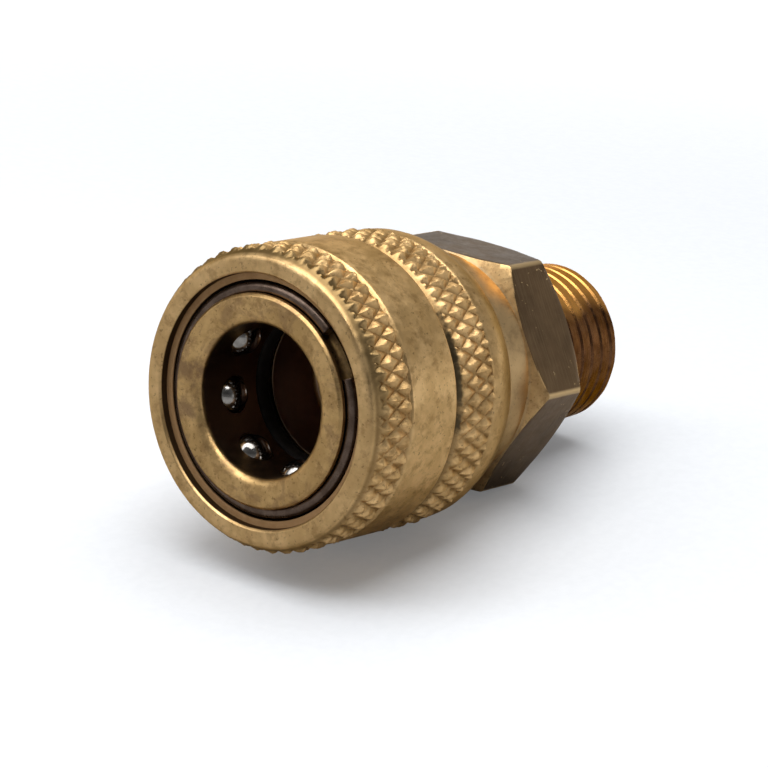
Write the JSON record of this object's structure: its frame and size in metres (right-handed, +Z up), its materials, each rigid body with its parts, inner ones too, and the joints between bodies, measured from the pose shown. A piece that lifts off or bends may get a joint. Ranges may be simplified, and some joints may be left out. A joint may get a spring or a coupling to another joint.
{
  "type": "quick disconnect coupler",
  "caption": "Ball-lock quick disconnect socket: knurled sliding sleeve over a bored nose, hex and tapered male thread.",
  "frame": {"origin": "on the coupler's axis, half way along it: the centre of the bounding box", "axes": "+X along the axis from the socket mouth to the threaded end; +Z up, square to a hex flat, with the coupler lying on its side"},
  "size_m": [0.0392, 0.0242, 0.0242],
  "materials": {
    "body_brass": "satin, machined and slightly tarnished",
    "sleeve_brass": "satin, knurled",
    "ring_steel": "drawn spring wire, dull grey",
    "spring_steel": "drawn stainless wire",
    "ball_steel": "polished",
    "seal_rubber": "matt black"
  },
  "bodies": {
    "root": {"body": "body_brass", "sleeve_spring": "spring_steel", "o_ring": "seal_rubber"},
    "ring": {"retaining_ring": "ring_steel"},
    "sleeve": {"sleeve": "sleeve_brass"},
    "ball_1": {"ball_1": "ball_steel"},
    "ball_2": {"ball_2": "ball_steel"},
    "ball_3": {"ball_3": "ball_steel"},
    "ball_4": {"ball_4": "ball_steel"},
    "ball_5": {"ball_5": "ball_steel"},
    "ball_6": {"ball_6": "ball_steel"},
    "ball_7": {"ball_7": "ball_steel"},
    "ball_8": {"ball_8": "ball_steel"}
  },
  "joints": [
    {"name": "sleeve_turn", "type": "hinge", "parent": "root", "child": "ring", "pos_m": [0, 0, 0], "axis": [1, 0, 0], "continuous": true},
    {"name": "sleeve_slide", "type": "slide", "parent": "ring", "child": "sleeve", "axis": [1, 0, 0], "range_m": [0, 0.0035], "stiffness_N_per_m": 2000, "springref_m": -0.004, "deforming": ["sleeve_spring"]},
    {"name": "ball_1_slide", "type": "slide", "parent": "root", "child": "ball_1", "axis": [0, 0.9681, -0.2504], "range_m": [0, 0.00095]},
    {"name": "ball_2_slide", "type": "slide", "parent": "root", "child": "ball_2", "axis": [0, 0.8616, 0.5075], "range_m": [0, 0.00095]},
    {"name": "ball_3_slide", "type": "slide", "parent": "root", "child": "ball_3", "axis": [0, 0.2504, 0.9681], "range_m": [0, 0.00095]},
    {"name": "ball_4_slide", "type": "slide", "parent": "root", "child": "ball_4", "axis": [0, -0.5075, 0.8616], "range_m": [0, 0.00095]},
    {"name": "ball_5_slide", "type": "slide", "parent": "root", "child": "ball_5", "axis": [0, -0.9681, 0.2504], "range_m": [0, 0.00095]},
    {"name": "ball_6_slide", "type": "slide", "parent": "root", "child": "ball_6", "axis": [0, -0.8616, -0.5075], "range_m": [0, 0.00095]},
    {"name": "ball_7_slide", "type": "slide", "parent": "root", "child": "ball_7", "axis": [0, -0.2504, -0.9681], "range_m": [0, 0.00095]},
    {"name": "ball_8_slide", "type": "slide", "parent": "root", "child": "ball_8", "axis": [0, 0.5075, -0.8616], "range_m": [0, 0.00095]}
  ],
  "couplings": [
    {"joint": "ball_1_slide", "follows": "sleeve_slide", "ratio": 0.27143},
    {"joint": "ball_2_slide", "follows": "sleeve_slide", "ratio": 0.27143},
    {"joint": "ball_3_slide", "follows": "sleeve_slide", "ratio": 0.27143},
    {"joint": "ball_4_slide", "follows": "sleeve_slide", "ratio": 0.27143},
    {"joint": "ball_5_slide", "follows": "sleeve_slide", "ratio": 0.27143},
    {"joint": "ball_6_slide", "follows": "sleeve_slide", "ratio": 0.27143},
    {"joint": "ball_7_slide", "follows": "sleeve_slide", "ratio": 0.27143},
    {"joint": "ball_8_slide", "follows": "sleeve_slide", "ratio": 0.27143}
  ]
}
